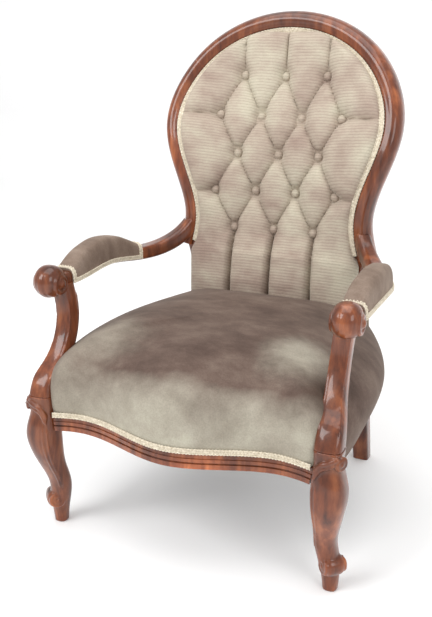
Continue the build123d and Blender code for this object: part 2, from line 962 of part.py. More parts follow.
with BuildPart() as seat_front_braid:
    add(front_band(rail_shoulder + fit_clearance, braid_width, 2.6 * braid_thickness, 4 * braid_thickness).part)
    add(seat_form(-fit_clearance, rail_bottom + 4), mode=Mode.SUBTRACT)
    for piece in (front_seat_rail, front_leg_left, front_leg_right):
        add(piece.part, mode=Mode.SUBTRACT)

# Arm pads, each with a braid round its foot
arm_top = arm_thickness / 2 + 2
pad_profile = ((0, 0.8, 0.3), (0.12, 0.92, 0.66), (0.45, 1, 1), (0.8, 0.9, 0.62), (1, 0.72, 0.24))


def pad_station(share):
    return arm_pad_start + share * (arm_pad_end - arm_pad_start)


def arm_pad_section(share, wide, tall):
    half_width = wide * arm_pad_width / 2
    top = arm_top + tall * arm_pad_height
    side = arm_top + 0.3 * tall * arm_pad_height
    with BuildSketch(arm_plane(pad_station(share))) as outline:
        with BuildLine():
            Polyline((half_width, side), (half_width, arm_top), (-half_width, arm_top), (-half_width, side))
            ThreePointArc((-half_width, side), (0, top), (half_width, side))
        make_face()
    return outline.sketch


def arm_braid_form(stand, overrun, height):
    """Block that follows the foot of the arm pad, standing out from it all round."""
    sections = []
    for share, wide, _ in pad_profile:
        share = 0.5 + (share - 0.5) * (1 + overrun)
        with BuildSketch(arm_plane(pad_station(share))) as outline:
            with Locations((0, arm_top + arm_braid_height / 2)):
                Rectangle(wide * arm_pad_width + 2 * stand, height)
        sections.append(outline.sketch)
    return loft(sections=sections, ruled=True, mode=Mode.PRIVATE)


with BuildPart() as arm_pad_right:
    loft(sections=[arm_pad_section(*place) for place in pad_profile])
arm_pad_left = mirrored(arm_pad_right)

with BuildPart() as arm_braid_right:
    add(arm_braid_form(braid_thickness, 0.04, arm_braid_height))
    add(arm_braid_form(3 * fit_clearance, 0.008, 2 * arm_braid_height), mode=Mode.SUBTRACT)
arm_braid_left = mirrored(arm_braid_right)

# Finished pieces, one file each
pieces = {
    "front_leg_left": front_leg_left,
    "front_leg_right": front_leg_right,
    "arm_support_left": arm_support_left,
    "arm_support_right": arm_support_right,
    "arm_left": arm_left,
    "arm_right": arm_right,
    "rear_stile_left": rear_stile_left,
    "rear_stile_right": rear_stile_right,
    "crest_left": crest_left,
    "crest_right": crest_right,
    "front_seat_rail": front_seat_rail,
    "side_seat_rail_left": side_seat_rail_left,
    "side_seat_rail_right": side_seat_rail_right,
    "back_seat_rail": back_seat_rail,
    "lower_back_rail": lower_back_rail,
    "corner_blocks": corner_blocks,
    "corner_block_screws": corner_block_screws,
    "front_rail_dowels": front_rail_dowels,
    "side_rail_dowels": side_rail_dowels,
    "back_rail_dowels": back_rail_dowels,
    "lower_back_dowels": lower_back_dowels,
    "crest_dowels": crest_dowels,
    "arm_support_dowels": arm_support_dowels,
    "arm_dowels": arm_dowels,
    "seat_webbing": seat_webbing,
    "seat_springs": seat_springs,
    "spring_hessian": spring_hessian,
    "seat_stuffing": seat_stuffing,
    "seat_cover": seat_cover,
    "seat_front_braid": seat_front_braid,
    "bottom_cloth": bottom_cloth,
    "back_webbing": back_webbing,
    "back_hessian": back_hessian,
    "back_pad": back_pad,
    "back_buttons": back_buttons,
    "back_braid": back_braid,
    "outside_back_cover": outside_back_cover,
    "arm_pad_left": arm_pad_left,
    "arm_pad_right": arm_pad_right,
    "arm_braid_left": arm_braid_left,
    "arm_braid_right": arm_braid_right,
}
for name, piece in pieces.items():
    piece.part.label = name
    export_step(piece.part, f"parts/{name}.step")
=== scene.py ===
import math

import bpy
import numpy as np
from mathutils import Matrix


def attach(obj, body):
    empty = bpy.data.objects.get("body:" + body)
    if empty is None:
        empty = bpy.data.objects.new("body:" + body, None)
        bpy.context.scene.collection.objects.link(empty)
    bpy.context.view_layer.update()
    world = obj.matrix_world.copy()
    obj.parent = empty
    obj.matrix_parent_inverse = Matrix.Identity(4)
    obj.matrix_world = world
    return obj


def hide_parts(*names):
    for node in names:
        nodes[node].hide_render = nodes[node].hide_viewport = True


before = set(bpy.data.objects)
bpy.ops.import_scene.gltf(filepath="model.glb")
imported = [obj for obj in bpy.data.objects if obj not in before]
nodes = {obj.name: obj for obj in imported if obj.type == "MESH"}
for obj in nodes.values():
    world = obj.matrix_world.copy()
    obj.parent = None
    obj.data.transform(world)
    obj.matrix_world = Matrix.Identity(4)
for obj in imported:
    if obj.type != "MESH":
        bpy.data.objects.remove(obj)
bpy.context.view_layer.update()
scene = bpy.context.scene

# Lengths are in metres. The chair stands on z = 0 and faces -y.
rightward, rearward, upward = np.eye(3)

# Main sizes: the hoop's inner edge, the front legs and the front of the seat
hoop_foot, wide_height, crest_top = 0.490, 0.760, 0.961
hoop_foot_depth, wide_depth, crest_depth = 0.198, 0.206, 0.288
hoop_foot_half, waist_half, half_hoop = 0.195, 0.181, 0.230
leg_x, leg_y, leg_top = 0.284, -0.274, 0.292
seat_front, seat_corner, seat_crown = -0.321, 0.261, 0.4235


# Materials, all procedural


def shader(name, inputs):
    """A material, its node tree and its surface, with values for the surface's inputs."""
    material = bpy.data.materials.new(name)
    material.use_nodes = True
    surface = material.node_tree.nodes["Principled BSDF"]
    for key, value in inputs.items():
        surface.inputs[key].default_value = value
    return material, material.node_tree, surface


def new_node(tree, kind, inputs, **settings):
    """A node with its settings, and inputs that are values or other nodes' outputs."""
    node = tree.nodes.new(kind)
    for key, value in settings.items():
        setattr(node, key, value)
    for key, value in inputs.items():
        if isinstance(value, bpy.types.NodeSocket):
            tree.links.new(value, node.inputs[key])
        else:
            node.inputs[key].default_value = value
    return node


def own_place(tree):
    return tree.nodes.new("ShaderNodeTexCoord").outputs["Object"]


def object_coords(tree, scale=(1, 1, 1), turn=(0, 0, 0)):
    """Object coordinates, turned, and stretched by a scale for each axis."""
    inputs = {"Vector": own_place(tree), "Scale": scale, "Rotation": turn}
    return new_node(tree, "ShaderNodeMapping", inputs).outputs["Vector"]


def ramp(tree, value, *stops):
    node = new_node(tree, "ShaderNodeValToRGB", {"Fac": value})
    elements = node.color_ramp.elements
    while len(elements) < len(stops):
        elements.new(0.5)
    for element, (position, colour) in zip(elements, stops):
        element.position = position
        element.color = (*colour, 1)
    return node.outputs["Color"]


def mix(tree, first, second, factor, blend="MIX"):
    inputs = {0: factor, 6: first, 7: second}
    return new_node(tree, "ShaderNodeMix", inputs, data_type="RGBA", blend_type=blend).outputs[2]


def noise(tree, vector, scale, detail=3.0, roughness=0.5):
    inputs = {"Vector": vector, "Scale": scale, "Detail": detail, "Roughness": roughness}
    return new_node(tree, "ShaderNodeTexNoise", inputs).outputs["Fac"]


def wave(tree, vector, direction, scale, distortion, detail_scale=1.0):
    inputs = {"Vector": vector, "Scale": scale, "Distortion": distortion, "Detail Scale": detail_scale}
    return new_node(tree, "ShaderNodeTexWave", inputs, bands_direction=direction).outputs["Fac"]


def maths(tree, operation, *values):
    inputs = dict(enumerate(values))
    return new_node(tree, "ShaderNodeMath", inputs, operation=operation).outputs["Value"]


def bump(tree, surface, height, strength, distance):
    inputs = {"Height": height, "Strength": strength, "Distance": distance}
    node = new_node(tree, "ShaderNodeBump", inputs)
    tree.links.new(node.outputs["Normal"], surface.inputs["Normal"])


def grey(value):
    return (value, value, value)


def mahogany():
    """Polished red brown wood with long grain, broad figure, painted shade in its hollows and worn
    edges.
    """
    dark, middle, light = (0.05, 0.013, 0.006), (0.16, 0.046, 0.017), (0.34, 0.12, 0.045)
    dull, bright = (0.62, 0.55, 0.52), (1.25, 1.1, 1.0)
    # hollow darkens the hollows as painted shade, edge lightens the worn edges
    hollow, edge = (0.35, 0.33, 0.32), (1.5, 1.45, 1.4)
    material, tree, surface = shader(
        "mahogany_polish",
        {"Roughness": 0.3, "Specular IOR Level": 0.25, "Coat Weight": 0.55, "Coat Roughness": 0.07},
    )
    grain = noise(tree, object_coords(tree, (16, 16, 3)), scale=3.0, detail=5.0, roughness=0.6)
    figure = noise(tree, object_coords(tree, (4, 4, 2)), scale=2.2, detail=2.0)
    edges = tree.nodes.new("ShaderNodeNewGeometry").outputs["Pointiness"]
    streaks = ramp(tree, grain, (0.28, dark), (0.5, middle), (0.74, light))
    tone = ramp(tree, figure, (0.35, dull), (0.7, bright))
    # Darker where the surface hollows in: painted shade; lighter on worn edges
    shade_and_wear = ramp(tree, edges, (0.3, hollow), (0.5, grey(1)), (0.6, edge))
    colour = mix(tree, streaks, tone, 1.0, "MULTIPLY")
    colour = mix(tree, colour, shade_and_wear, 0.8, "MULTIPLY")
    tree.links.new(colour, surface.inputs["Base Color"])
    bump(tree, surface, grain, strength=0.08, distance=0.0006)
    return material


def plain_wood():
    material, tree, surface = shader("beech_frame", {"Roughness": 0.6})
    grain = noise(tree, object_coords(tree, (8, 8, 60)), scale=3.0, detail=4.0)
    colour = ramp(tree, grain, (0.3, (0.36, 0.22, 0.11)), (0.7, (0.55, 0.38, 0.22)))
    tree.links.new(colour, surface.inputs["Base Color"])
    return material


def steel(name, colour):
    return shader(name, {"Base Color": (*colour, 1), "Metallic": 1.0, "Roughness": 0.42})[0]


def woven(name, dark, light, pitch):
    """Plain weave, threads crossing in two directions."""
    material, tree, surface = shader(name, {"Roughness": 0.9})
    across, along = (
        wave(tree, object_coords(tree), direction, scale=pitch, distortion=0.4) for direction in "XY"
    )
    threads = maths(tree, "MAXIMUM", across, along)
    colour = ramp(tree, threads, (0.2, dark), (0.9, light))
    tree.links.new(colour, surface.inputs["Base Color"])
    bump(tree, surface, threads, strength=0.5, distance=0.001)
    return material


def velvet(sheen, tint):
    """Values for the surface of a pile cloth."""
    return {
        "Roughness": 0.85,
        "Specular IOR Level": 0.2,
        "Sheen Weight": sheen,
        "Sheen Roughness": 0.4,
        "Sheen Tint": (*tint, 1),
    }


def ribbed_velvet():
    """Taupe velvet with fine level ribs and soft patches of nap."""
    dark, middle, light = (0.3, 0.222, 0.182), (0.405, 0.335, 0.27), (0.49, 0.445, 0.35)
    groove, rib = (0.78, 0.76, 0.76), (1.02, 1.02, 1.01)
    rib_tilt = math.radians(24)
    material, tree, surface = shader("ribbed_velvet", velvet(0.5, (0.85, 0.82, 0.7)))
    tilted = object_coords(tree, turn=(rib_tilt, 0, 0))
    ribs = wave(tree, tilted, "Z", scale=52.0, distortion=1.2, detail_scale=2.0)
    patches = noise(tree, object_coords(tree, (1, 1, 1.6)), scale=9.0, detail=4.0, roughness=0.6)
    speckle = noise(tree, object_coords(tree), scale=420.0, detail=2.0)
    nap = ramp(tree, patches, (0.3, dark), (0.5, middle), (0.7, light))
    shade = ramp(tree, ribs, (0.0, groove), (0.35, rib))
    grain = ramp(tree, speckle, (0.3, grey(0.86)), (0.7, grey(1.08)))
    colour = mix(tree, nap, shade, 0.8, "MULTIPLY")
    colour = mix(tree, colour, grain, 0.6, "MULTIPLY")
    tree.links.new(colour, surface.inputs["Base Color"])
    bump(tree, surface, ribs, strength=0.25, distance=0.0012)
    return material


def nap_and_shade_patch(tree, centre, radius, strength):
    """A soft ragged patch, with its full strength at the centre and none outside."""
    inputs = {0: own_place(tree), 1: centre}
    gap = new_node(tree, "ShaderNodeVectorMath", inputs, operation="DISTANCE").outputs["Value"]
    ripple = noise(tree, object_coords(tree), scale=14.0, detail=4.0, roughness=0.6)
    ragged = maths(tree, "MULTIPLY_ADD", ripple, radius, gap)
    full_to, none_from = 0.5 * radius, 1.6 * radius
    inputs = {"Value": ragged, "From Min": full_to, "From Max": none_from}
    inputs |= {"To Min": strength, "To Max": 0.0}
    node = new_node(tree, "ShaderNodeMapRange", inputs, interpolation_type="SMOOTHSTEP")
    return node.outputs["Result"]


def plush(name, dark, middle, light):
    """Worn plush: brown on top, sage beige towards the front, with two pale patches and painted shade
    beside the right arm support.
    """
    sage_dark, sage_light = (0.3, 0.27, 0.215), (0.45, 0.425, 0.345)
    # A dark patch where the seat meets the right arm support: painted shade
    support_shade = (0.06, 0.042, 0.028, 1)
    pale_right, pale_left, support_shade_place = (0.195, -0.165, 0.4), (-0.19, -0.2, 0.39), (0.25, -0.225, 0.35)
    wander, height_weight, sage_end, brown_start = 0.16, 0.5, -0.085, 0.005
    material, tree, surface = shader(name, velvet(0.17, (0.85, 0.75, 0.64)))
    coords = object_coords(tree)
    axes = new_node(tree, "ShaderNodeSeparateXYZ", {"Vector": own_place(tree)}).outputs
    drift = noise(tree, coords, scale=5.0, detail=4.0, roughness=0.6)
    inward = maths(tree, "MULTIPLY_ADD", drift, wander, axes["Y"])
    inward = maths(tree, "MULTIPLY_ADD", axes["Z"], height_weight, inward)
    inputs = {"Value": inward, "From Min": sage_end, "From Max": brown_start}
    browned = new_node(tree, "ShaderNodeMapRange", inputs, clamp=True).outputs["Result"]
    blotch = noise(tree, object_coords(tree, (1, 1.6, 1)), scale=11.0, detail=5.0, roughness=0.65)
    brown = ramp(tree, blotch, (0.3, dark), (0.52, middle), (0.75, light))
    sage = ramp(tree, blotch, (0.3, sage_dark), (0.7, sage_light))
    brown = mix(tree, brown, sage, nap_and_shade_patch(tree, pale_right, radius=0.09, strength=0.75))
    brown = mix(tree, brown, sage, nap_and_shade_patch(tree, pale_left, radius=0.11, strength=0.5))
    colour = mix(tree, sage, brown, browned)
    # Painted shade beside the right arm support
    colour = mix(tree, colour, support_shade, nap_and_shade_patch(tree, support_shade_place, radius=0.05, strength=0.8))
    pile = noise(tree, coords, scale=380.0, detail=2.0)
    grain = ramp(tree, pile, (0.3, grey(0.84)), (0.7, grey(1.1)))
    colour = mix(tree, colour, grain, 0.7, "MULTIPLY")
    tree.links.new(colour, surface.inputs["Base Color"])
    bump(tree, surface, pile, strength=0.25, distance=0.0008)
    return material


def gimp():
    material, tree, surface = shader("cream_gimp", {"Roughness": 0.8})
    fibres = noise(tree, object_coords(tree), scale=260.0, detail=3.0)
    colour = ramp(tree, fibres, (0.3, (0.5, 0.43, 0.32)), (0.7, (0.78, 0.71, 0.58)))
    tree.links.new(colour, surface.inputs["Base Color"])
    bump(tree, surface, fibres, strength=0.5, distance=0.001)
    return material


materials = {
    "mahogany": mahogany(),
    "beech": plain_wood(),
    "screw_steel": steel("screw_steel_plain", (0.35, 0.34, 0.32)),
    "spring_steel": steel("spring_steel_wire", (0.45, 0.33, 0.22)),
    "jute": woven("jute_weave", (0.28, 0.19, 0.1), (0.56, 0.43, 0.27), pitch=150.0),
    "seat_velvet": plush("seat_plush", (0.064, 0.04, 0.032), (0.112, 0.075, 0.06), (0.17, 0.125, 0.1)),
    # The seat's plush again, made lighter for the pads' lit tops: painted light
    "lit_pad_velvet": plush("lit_pad_plush", (0.12, 0.08, 0.06), (0.2, 0.145, 0.112), (0.28, 0.215, 0.172)),
    "back_velvet": ribbed_velvet(),
    "braid": gimp(),
    "bottom_cotton": woven("black_cotton", grey(0.02), grey(0.06), pitch=300.0),
}


# Pieces and meshes


def finish_piece(piece, slot_name, replaced):
    """Gives a piece the material named by slot_name and its body, in place of the nodes that it stands
    for.
    """
    piece.data.materials.clear()
    piece.data.materials.append(materials[slot_name])
    for polygon in piece.data.polygons:
        polygon.use_smooth = True
    piece.data.set_sharp_from_angle(angle=math.radians(55))
    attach(piece, "root")
    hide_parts(*replaced)
    return piece


def mesh_piece(name, points, faces):
    mesh = bpy.data.meshes.new(name)
    mesh.from_pydata([tuple(map(float, point)) for point in points], [], faces)
    mesh.update()
    piece = bpy.data.objects.new(name, mesh)
    scene.collection.objects.link(piece)
    return piece


def grid_faces(rows, columns, closed=False):
    """Faces between rows of points, which close into rings if asked."""
    faces = []
    for row in range(rows - 1):
        for column in range(columns if closed else columns - 1):
            following = (column + 1) % columns
            first = row * columns
            second = first + columns
            faces.append((first + column, first + following, second + following, second + column))
    return faces


def last_row(rows, columns):
    return tuple((rows - 1) * columns + k for k in range(columns))


def ring_solid(rings):
    """Closed solid through rings of points, with flat ends."""
    rows, columns = rings.shape[:2]
    ends = [tuple(range(columns - 1, -1, -1)), last_row(rows, columns)]
    return rings.reshape(-1, 3), grid_faces(rows, columns, closed=True) + ends


def in_one(meshes):
    """The points and faces of several meshes, as one."""
    points, faces = [], []
    for some_points, some_faces in meshes:
        start = len(points)
        points += list(some_points)
        faces += [tuple(start + k for k in face) for face in some_faces]
    return points, faces


def joined_points(name):
    """A node's points, each only once, and its faces."""
    mesh = nodes[name].data
    matrix = nodes[name].matrix_world
    places, points, kept = {}, [], []
    for vertex in mesh.vertices:
        point = matrix @ vertex.co
        key = tuple(round(value, 6) for value in point)
        if key not in places:
            places[key] = len(points)
            points.append(point)
        kept.append(places[key])
    faces = [tuple(kept[k] for k in polygon.vertices) for polygon in mesh.polygons]
    return points, [face for face in faces if len(set(face)) == len(face)]


# Curves and shares


class NaturalSpline:
    """Cubic through points, by chord length, with free ends."""

    def __init__(self, points):
        self.points = np.array(points, float)
        steps = np.linalg.norm(np.diff(self.points, axis=0), axis=1)
        self.knots = np.concatenate([[0], np.cumsum(steps)])
        count = len(points)
        system = np.zeros((count, count))
        right = np.zeros_like(self.points)
        system[0, 0] = system[-1, -1] = 1
        for k in range(1, count - 1):
            before, after = steps[k - 1], steps[k]
            system[k, k - 1 : k + 2] = before, 2 * (before + after), after
            right[k] = 6 * (
                (self.points[k + 1] - self.points[k]) / after
                - (self.points[k] - self.points[k - 1]) / before
            )
        self.bend = np.linalg.solve(system, right)
        self.length = self.knots[-1]

    def at(self, distance):
        k = np.clip(np.searchsorted(self.knots, distance) - 1, 0, len(self.points) - 2)
        step = (self.knots[k + 1] - self.knots[k])[:, None]
        b = (distance - self.knots[k])[:, None] / step
        a = 1 - b
        return (
            a * self.points[k]
            + b * self.points[k + 1]
            + ((a**3 - a) * self.bend[k] + (b**3 - b) * self.bend[k + 1]) * step**2 / 6
        )

    def sample(self, first, last, count):
        """Points at even distances between two shares of the length."""
        return self.at(np.linspace(first, last, count) * self.length)


def unit(vectors):
    return vectors / np.maximum(np.linalg.norm(vectors, axis=-1, keepdims=True), 1e-9)


def tangents(path):
    return unit(np.gradient(path, axis=0))


def distances(path):
    """How far along a path each of its points lies."""
    return np.concatenate([[0], np.cumsum(np.linalg.norm(np.diff(path, axis=0), axis=1))])


def even_path(points, count):
    """The path through points again, with evenly spaced ones."""
    points = np.array(points)
    steps = distances(points)
    places = np.linspace(0, steps[-1], count)
    return np.stack([np.interp(places, steps, column) for column in points.T], axis=1)


def moving_mean(values, window):
    return np.convolve(np.pad(values, window // 2, "edge"), np.ones(window) / window, "valid")


def limited(values):
    return np.clip(values, 0, 1)


def eased(values):
    """From none to all with soft ends."""
    share = limited(values)
    return share * share * (3 - 2 * share)


def rounded(values):
    """From none to all along a quarter circle."""
    return np.sqrt(limited(1 - (1 - limited(values)) ** 2))


def signed_power(values, power):
    return np.sign(values) * np.abs(values) ** power


# The hoop's inner edge, from the right arm over the crest to the left arm

hoop_side = [
    (hoop_foot_half, hoop_foot_depth, hoop_foot),
    (waist_half, 0.196, 0.562),
    (0.205, 0.191, 0.668),
]
for turn in np.arange(4) * math.pi / 8:
    hoop_side.append(
        (
            half_hoop * math.cos(turn),
            wide_depth + (crest_depth - wide_depth) * math.sin(turn),
            wide_height + (crest_top - wide_height) * math.sin(turn),
        )
    )
hoop_other_side = [(-x, y, z) for x, y, z in reversed(hoop_side)]
hoop = NaturalSpline(hoop_side + [(0, crest_depth, crest_top)] + hoop_other_side)


def hoop_axes(path):
    """Directions outward and forward from a path along the hoop."""
    along = tangents(path)
    outward = unit(np.cross(rearward, along))
    return outward, -unit(np.cross(along, outward))


# Tufted inside back

button_rows = [
    [(-0.091, 0.539), (0, 0.539), (0.091, 0.539)],
    [(-0.1365, 0.61925), (-0.0455, 0.61925), (0.0455, 0.61925), (0.1365, 0.61925)],
    [(-0.090, 0.704), (0.002, 0.704), (0.093, 0.704)],
    [(-0.1365, 0.788), (-0.0445, 0.788), (0.0465, 0.7865), (0.1365, 0.786)],
    [(-0.092, 0.869), (0, 0.869), (0.093, 0.869)],
]
channel_tops = button_rows[0]
buttons = [place for row in button_rows for place in row]
back_bottom, back_top = 0.385, crest_top - 0.0085
back_rows, back_columns = 210, 151
row_crowding, column_crowding = 0.92, 0.97


def pleat_lines():
    """Folds between neighbouring buttons, and on from the outer buttons past the cloth's edges."""
    neighbour_gap = 0.05
    past_crest, past_seat, side_drop = 1.1, 0.3, 0.01
    crest_fan, seat_fan, side_reach = 1.08, 1.05, 2.2
    lines = [
        (low, high)
        for lower, upper in zip(button_rows, button_rows[1:])
        for low in lower
        for high in upper
        if abs(low[0] - high[0]) < neighbour_gap
    ]
    lines += [((x, z), (crest_fan * x, past_crest)) for x, z in button_rows[-1]]
    lines += [((x, z), (seat_fan * x, past_seat)) for x, z in channel_tops]
    for row in (button_rows[1], button_rows[3]):
        lines += [((x, z), (side_reach * x, z - side_drop)) for x, z in (row[0], row[-1])]
    return lines


def back_outline(heights):
    """Half width of the cloth and depth of its edge: inside the hoop, and an apron below it."""
    hoop_gap, apron_half, apron_flare = 0.009, 0.1945, 0.002
    apron_top, apron_blend, flare_top, flare_drop = 0.505, 0.03, 0.5, 0.1
    x, y, z = hoop.sample(0, 0.5, 400).T
    inside = np.interp(heights, z, x) - hoop_gap
    apron = apron_half + apron_flare * limited((flare_top - heights) / flare_drop)
    below = eased((apron_top - heights) / apron_blend)
    depth = np.where(heights < hoop_foot, hoop_foot_depth, np.interp(heights, z, y))
    return inside * (1 - below) + apron * below, depth


def lumbar(z):
    """Share of the swell above the seat."""
    swell_top, swell_drop = 0.53, 0.1
    return limited((swell_top - z) / swell_drop)


def back_dish(x, z, half):
    """Hollow of the back between its edges, and its swell above the seat."""
    end_swell, hollow, hollow_power, lumbar_swell = 0.003, 0.034, 0.8, 0.020
    rise = limited((z - hoop_foot) / (crest_top - hoop_foot))
    crown = end_swell - hollow * np.sin(math.pi * rise) ** hollow_power + lumbar_swell * lumbar(z)
    return crown * (1 - limited(np.abs(x) / half) ** 2)


def back_pillows(x, z):
    """Stuffed diamonds, full at a distance from the pleats."""
    sharpness, full_gap, swell, lumbar_flat = 150, 0.031, 0.0165, 0.2
    closeness = np.zeros(x.shape)
    for (ax, az), (bx, bz) in pleat_lines():
        dx, dz = bx - ax, bz - az
        share = limited(((x - ax) * dx + (z - az) * dz) / (dx * dx + dz * dz))
        closeness += np.exp(-sharpness * np.hypot(x - ax - share * dx, z - az - share * dz))
    gap = np.maximum(-np.log(np.maximum(closeness, 1e-12)) / sharpness, 0)
    return swell * rounded(gap / full_gap) * (1 - lumbar_flat * lumbar(z))


def back_pull(x, z):
    """How deep the buttons draw the cloth in, and the channels below the lowest ones."""
    button_pull, button_reach = 0.0085, 0.016
    channel_pull, channel_reach, channel_start, channel_fan = 0.013, 0.0055, 0.02, 0.05 / 0.24
    pull = np.zeros(x.shape)
    for bx, bz in buttons:
        pull += button_pull * np.exp(-((np.hypot(x - bx, z - bz) / button_reach) ** 2))
    for bx, bz in channel_tops:
        off_line = x - bx * (1 + channel_fan * (bz - z))
        below = limited((bz - z) / channel_start)
        pull += channel_pull * np.exp(-((off_line / channel_reach) ** 2)) * below
    return pull


def back_stand(x, z, half):
    """How far the cloth stands in front of its edges' depth."""
    edge_round, stuffing, tuck = 0.03, 0.006, 0.004
    edge = rounded(np.minimum(half - np.abs(x), back_top - z) / edge_round)
    return edge * (back_dish(x, z, half) + back_pillows(x, z) - back_pull(x, z) + stuffing) - tuck


back_heights = back_bottom + (back_top - back_bottom) * np.linspace(0, 1, back_rows) ** row_crowding
back_halves, back_depths = back_outline(back_heights)
back_lean = moving_mean(np.gradient(back_depths, back_heights), 17)
back_forward = unit(np.stack([0 * back_lean, 0 * back_lean - 1, back_lean], axis=1))


def border(rows, columns):
    """Numbers of the points round a grid's edge, in order."""
    right = [row * columns + columns - 1 for row in range(1, rows)]
    left = [row * columns for row in range(rows - 2, 0, -1)]
    return [*range(columns), *right, *reversed(last_row(rows, columns)[:-1]), *left]


def inside_back():
    """The tufted cloth with its stuffing, closed behind."""
    pad_depth, least_depth = 0.030, 0.002
    x = back_halves[:, None] * signed_power(np.linspace(-1, 1, back_columns), column_crowding)
    half, depth, z = (
        np.repeat(values[:, None], back_columns, axis=1)
        for values in (back_halves, back_depths, back_heights)
    )
    front = np.stack([x, depth, z], axis=2)
    front += back_forward[:, None] * back_stand(x, z, half)[:, :, None]
    rear_y = depth + np.where(z < hoop_foot, 0.0, pad_depth)
    rear = np.stack([x, np.maximum(rear_y, front[:, :, 1] + least_depth), z], axis=2)
    count = back_rows * back_columns
    front_faces = grid_faces(back_rows, back_columns)
    rear_faces = [tuple(count + k for k in reversed(face)) for face in front_faces]
    rim = border(back_rows, back_columns)
    sides = [(after, here, here + count, after + count) for here, after in zip(rim, rim[1:] + rim[:1])]
    points = np.concatenate([front.reshape(-1, 3), rear.reshape(-1, 3)])
    return points, front_faces + rear_faces + sides


def button_dome(x, z):
    """A covered button on the cloth, as rings up to a small flat top."""
    rings, sides, radius, height, sink = 7, 20, 0.0106, 0.0125, 0.001
    half, depth = back_outline(np.array([z]))
    out = back_forward[np.argmin(np.abs(back_heights - z))]
    stand = back_stand(np.array([float(x)]), np.array([z]), half)
    centre = np.array([x, depth[0], z]) + out * stand
    climb = 0.5 * math.pi * np.arange(rings)[:, None, None] / (rings - 0.6)
    turn = 2 * math.pi * np.arange(sides)[None, :, None] / sides
    spoke = rightward * np.cos(turn) + np.cross(out, rightward) * np.sin(turn)
    points = centre + out * (height * np.sin(climb) - sink) + radius * np.cos(climb) * spoke
    return points.reshape(-1, 3), grid_faces(rings, sides, closed=True) + [last_row(rings, sides)]


cushion = finish_piece(mesh_piece("inside_back", *inside_back()), "back_velvet", ["back_pad"])
domes = in_one(button_dome(x, z) for x, z in buttons)
finish_piece(mesh_piece("covered_buttons", *domes), "back_velvet", ["back_buttons"])


# Braid along the hoop and along the front of the seat


def gimp_braid(path, outward, facing, width, thickness, period):
    """A flat ribbon with two corded edges and a looped middle, laid along a path."""
    across = [-0.5, -0.5, -0.38, -0.22, 0.0, 0.22, 0.38, 0.5, 0.5]
    rise = [-0.5, 0.2, 0.5, 0.1, 0.35, 0.1, 0.5, 0.2, -0.5]
    cord_from, scallop, knot, knot_shift = 0.3, 0.09, 0.28, 1.7
    phase = 2 * math.pi * distances(path) / period
    points = np.zeros((len(path), len(across), 3))
    for k, (side, lift) in enumerate(zip(across, rise)):
        corded = abs(side) > cord_from
        reach = 1 + scallop * np.sin(phase + (0 if side < 0 else math.pi)) * corded
        height = lift + knot * np.sin(phase * (1 if corded else 2) + knot_shift * k) * (lift > 0)
        points[:, k] = path + outward * (width * side * reach)[:, None]
        points[:, k] += facing * (thickness * height)[:, None]
    return points.reshape(-1, 3), grid_faces(len(path), len(across))


def hoop_braid():
    inset, sink, end_share = 0.0060, 0.0005, 0.010
    path = hoop.sample(end_share, 1 - end_share, 940)
    outward, facing = hoop_axes(path)
    path = path - outward * inset - facing * sink
    return gimp_braid(path, outward, facing, width=0.0115, thickness=0.0036, period=0.0065)


def serpentine(corner_x, front_y):
    """The seat's front in plan: a bow between two hollows."""
    corner_setback, hollow_setback, hollow_share = 0.036, 0.050, 0.76
    corner = (corner_x, front_y + corner_setback)
    hollow = (hollow_share * corner_x, front_y + hollow_setback)
    left = [(-x, y) for x, y in (corner, hollow)]
    return NaturalSpline([*left, (0, front_y), hollow, corner])


def seat_braid():
    height, lift, end_share = 0.2575, 0.0045, 0.008
    plan = serpentine(seat_corner, seat_front).sample(end_share, 1 - end_share, 560)
    path = np.column_stack([plan, np.full(len(plan), height)])
    facing = unit(np.cross(tangents(path), upward))
    path = path + facing * lift
    return gimp_braid(path, upward, facing, width=0.0100, thickness=0.0034, period=0.006)


finish_piece(mesh_piece("hoop_braid", *hoop_braid()), "braid", ["back_braid"])
finish_piece(mesh_piece("seat_braid", *seat_braid()), "braid", ["seat_front_braid"])


# Sprung seat


def arc_through(a, b, c, count):
    """Points of the level arc from a through b to c."""
    (ax, ay), (bx, by), (cx, cy) = a, b, c
    a_far, b_far, c_far = ax**2 + ay**2, bx**2 + by**2, cx**2 + cy**2
    twice_area = 2 * (ax * (by - cy) + bx * (cy - ay) + cx * (ay - by))
    x = (a_far * (by - cy) + b_far * (cy - ay) + c_far * (ay - by)) / twice_area
    y = (a_far * (cx - bx) + b_far * (ax - cx) + c_far * (bx - ax)) / twice_area
    radius = math.hypot(ax - x, ay - y)
    angles = np.linspace(math.atan2(ay - y, ax - x), math.atan2(cy - y, cx - x), count)
    return np.stack([x + radius * np.cos(angles), y + radius * np.sin(angles)], axis=1)


def seat_outline(height, sides, corners, shoulders, front, back):
    """Plan of the seat at a height, each line drawn in from its place at the rails."""
    side_x, side_y, shoulder_step, smoothing = 0.288, -0.074, 0.020, 14
    rear_x, rear_y = 0.228, 0.200
    front_line = serpentine(seat_corner - corners, seat_front + front).sample(0, 1, 141)
    shoulder = (leg_x - shoulders, front_line[-1, 1] + shoulder_step)
    rear = (rear_x - max(sides, 0), rear_y - back)
    right = arc_through(shoulder, (side_x - sides, side_y), rear, 101)
    left = right[::-1] * np.array([-1, 1])
    rear_line = np.linspace(rear, (-rear[0], rear[1]), 60)
    loop = np.concatenate([front_line, right, rear_line, left])
    for _ in range(smoothing):
        loop = 0.5 * loop + 0.25 * (np.roll(loop, 1, axis=0) + np.roll(loop, -1, axis=0))
    return np.column_stack([loop, np.full(len(loop), height)])


